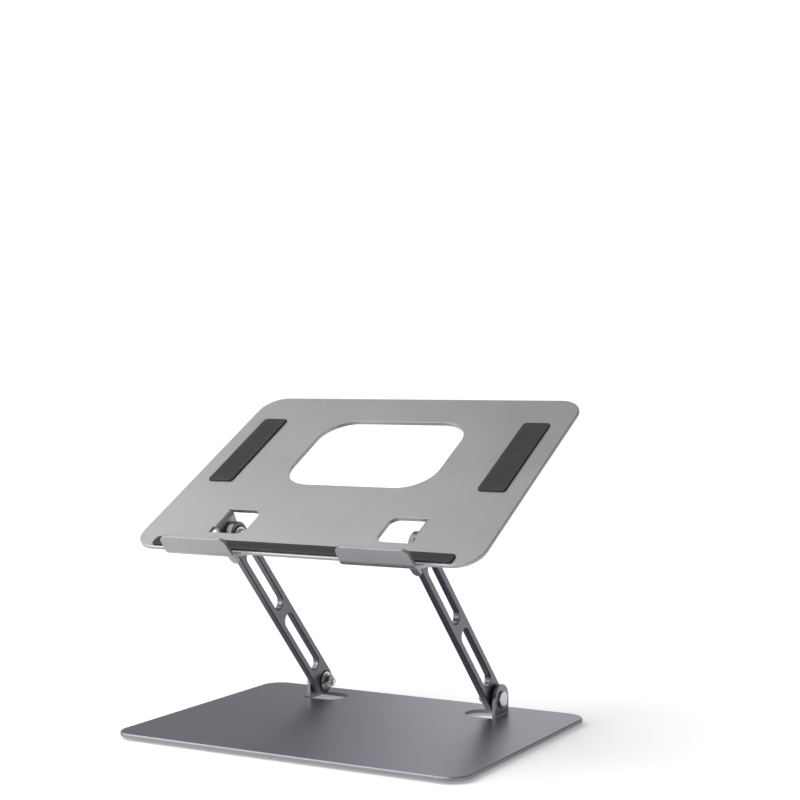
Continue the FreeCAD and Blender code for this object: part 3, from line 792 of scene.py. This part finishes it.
@dataclass
class RubberParts:
    """All the rubber: the tray's pads, the hooks' linings and the base's feet."""

    rubber: bpy.types.Material
    hook_lean: float = 11.0
    foot_radius: float = 9.0 * MM

    def build(self) -> None:
        """Makes the pads, then the linings, then the feet."""
        mounts = frame["record"]["mounts"]
        normal = Vector(next(mount for mount in mounts if mount["name"] == "laptop_rest")["axis"])
        across = Vector((1.0, 0.0, 0.0))
        for node in ("tray_front_pad", "tray_left_pad", "tray_right_pad"):
            RubberPad(node, "tray", across, normal.cross(across), self.rubber).build()
        lip = Matrix.Rotation(math.radians(self.hook_lean), 3, "X") @ normal
        for side in Side:
            RubberPad(f"{side.word}_hook_pad", "tray", -across, lip, self.rubber).build()
        for end in ("front", "rear"):
            for side in Side:
                RubberPad(f"base_foot_{end}_{side.word}", "base", across, Vector((0.0, -1.0, 0.0)),
                          self.rubber, corner=self.foot_radius).build()


@dataclass
class SheetMetal:
    """The bent plates and the arms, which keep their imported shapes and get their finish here."""

    base: bpy.types.Material
    tray: bpy.types.Material
    arms: bpy.types.Material

    def build(self) -> None:
        """Dresses the four pieces of metal."""
        dressed = {"base_plate": self.base, "tray_plate": self.tray,
                   "left_arm": self.arms, "right_arm": self.arms}
        for name, material in dressed.items():
            for slot in frame["nodes"][name].material_slots:
                slot.material = material
            log.info("%s keeps its packed shape", name)


@dataclass
class Studio:
    """A pale floor, plain soft light and the camera."""

    paper: bpy.types.Material
    half_width: float = 14.0
    reach: float = 40.0
    backdrop: float = 1.02
    surround_light: float = 0.31
    sun: float = 2.75
    sun_angle: float = 75.0
    sun_from: Point = (-0.75, -0.45, 1.0)
    lens: float = 72.62
    eye: Point = (0.55774, -0.93733, 0.24901)
    yaw: float = 29.099
    pitch: float = 1.313
    roll: float = -0.247

    def build(self) -> None:
        """Makes the floor, the lights and the camera."""
        self.floor()
        self.overhead()
        self.light("strip", (-1.5, -1.9, 0.55), (0.0, 0.0, 0.10), 1.1, 16.0)
        self.light("back", (-0.5, 2.6, 0.8), (0.05, 0.05, 0.0), 1.8, 8.0)
        self.surround()
        self.camera()

    def floor(self) -> None:
        """The floor: a flat sheet, level with the feet."""
        x, y = np.meshgrid((-self.half_width, self.half_width), (-self.reach / 4, self.reach), indexing="ij")
        made = surface("paper_floor", np.stack([x, y, np.zeros_like(x)], axis=-1))
        shade(made, self.paper)

    def overhead(self) -> None:
        """One wide, soft light from high on the left and a little in front."""
        data = bpy.data.lights.new("overhead_light", "SUN")
        data.energy, data.angle = self.sun, math.radians(self.sun_angle)
        item = bpy.data.objects.new("overhead_light", data)
        item.rotation_mode = "QUATERNION"
        item.rotation_quaternion = Vector(self.sun_from).to_track_quat("Z", "Y")
        bpy.context.scene.collection.objects.link(item)

    def light(self, name: str, place: Point, aim: Point, size: float, power: float) -> None:
        """A square soft light.

        Args:
            name: its name.
            place: where it hangs.
            aim: the point it faces.
            size: its side, in metres.
            power: its power in watts.
        """
        data = bpy.data.lights.new(f"{name}_light", "AREA")
        data.shape, data.size, data.energy = "SQUARE", size, power
        item = bpy.data.objects.new(f"{name}_light", data)
        item.visible_camera = False
        item.location = place
        item.rotation_mode = "QUATERNION"
        item.rotation_quaternion = (Vector(aim) - Vector(place)).to_track_quat("-Z", "Y")
        bpy.context.scene.collection.objects.link(item)

    def surround(self) -> None:
        """A dim even surround to light the stand, a white backdrop behind it, and plain colour handling."""
        world = bpy.data.worlds.new("studio")
        world.use_nodes = True
        nodes, links = world.node_tree.nodes, world.node_tree.links
        seen = nodes.new("ShaderNodeLightPath").outputs["Is Camera Ray"]
        strength = nodes.new("ShaderNodeMapRange")
        strength.inputs["To Min"].default_value = self.surround_light
        strength.inputs["To Max"].default_value = self.backdrop
        links.new(seen, strength.inputs["Value"])
        nodes["Background"].inputs["Color"].default_value = (1.0, 1.0, 1.0, 1.0)
        links.new(strength.outputs["Result"], nodes["Background"].inputs["Strength"])
        bpy.context.scene.world = world
        bpy.context.scene.view_settings.view_transform = "Standard"

    def camera(self) -> None:
        """The camera, from its place, its three angles and its lens."""
        yaw, pitch, roll = (math.radians(angle) for angle in (self.yaw, self.pitch, self.roll))
        forward = Vector((-math.sin(yaw) * math.cos(pitch), math.cos(yaw) * math.cos(pitch),
                          -math.sin(pitch)))
        level = Vector((math.cos(yaw), math.sin(yaw), 0.0))
        up = level.cross(forward)
        right = math.cos(roll) * level + math.sin(roll) * up
        data = bpy.data.cameras.new("camera")
        data.lens, data.sensor_width = self.lens, 36.0
        item = bpy.data.objects.new("camera", data)
        turn = Matrix([right, right.cross(forward), -forward]).transposed()
        item.matrix_world = Matrix.Translation(self.eye) @ turn.to_4x4()
        bpy.context.scene.collection.objects.link(item)
        bpy.context.scene.camera = item


def main() -> None:
    """Builds the sub-assemblies in order."""
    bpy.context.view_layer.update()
    base = AnodisedAluminium("grey_anodised_base", (0.234, 0.237, 0.274), cut_edge=(0.243, 0.243, 0.243))
    # The tray's wider edge radius rounds its edges more and also widens its band of painted edge highlight.
    tray = AnodisedAluminium("grey_anodised_tray", (0.325, 0.328, 0.334), edge_radius=0.55 * MM)
    arms = AnodisedAluminium("dark_grey_anodised_arms", (0.125, 0.13, 0.143), roughness=0.29)
    steel = PlatedSteel("bright_plated_steel").make()
    nylon = BlackPolymer("black_nylon_moulded", roughness=0.48, pit=2400.0, pit_depth=0.02 * MM, dust=0.1)
    rubber = BlackPolymer("black_silicone_rubber", colour=(0.012, 0.012, 0.0125))
    washers = nylon.make()
    SheetMetal(base.make(), tray.make(), arms.make()).build()
    for pivot in Pivot:
        for side in Side:
            PivotHardware(side, pivot, steel, washers).build()
    RubberParts(rubber.make()).build()
    Studio(StudioPaper().make()).build()


if __name__ == "__main__":
    main()
